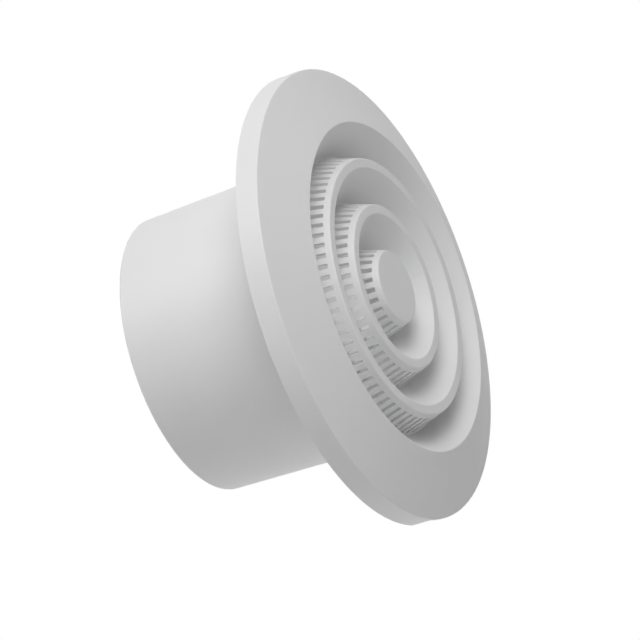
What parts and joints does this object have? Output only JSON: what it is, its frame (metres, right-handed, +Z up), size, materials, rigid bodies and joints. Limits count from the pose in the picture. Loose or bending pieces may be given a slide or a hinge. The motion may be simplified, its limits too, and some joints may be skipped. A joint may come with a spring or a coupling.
{
  "type": "round vent cover",
  "caption": "Round wall vent cover moulded in one piece: push-in duct spigot, conical flange and a grille of concentric slotted rings round a centre disc.",
  "frame": {"origin": "on the spigot's axis, in the plane where the flange's skirt meets the wall", "axes": "+Y along the spigot into the duct, the face towards -Y, +Z up on the wall with the drain notch at the bottom"},
  "size_m": [0.158, 0.08, 0.158],
  "materials": {
    "cover_plastic": "satin white moulded ABS"
  },
  "bodies": {
    "root": {"vent_cover": "cover_plastic"}
  },
  "joints": []
}
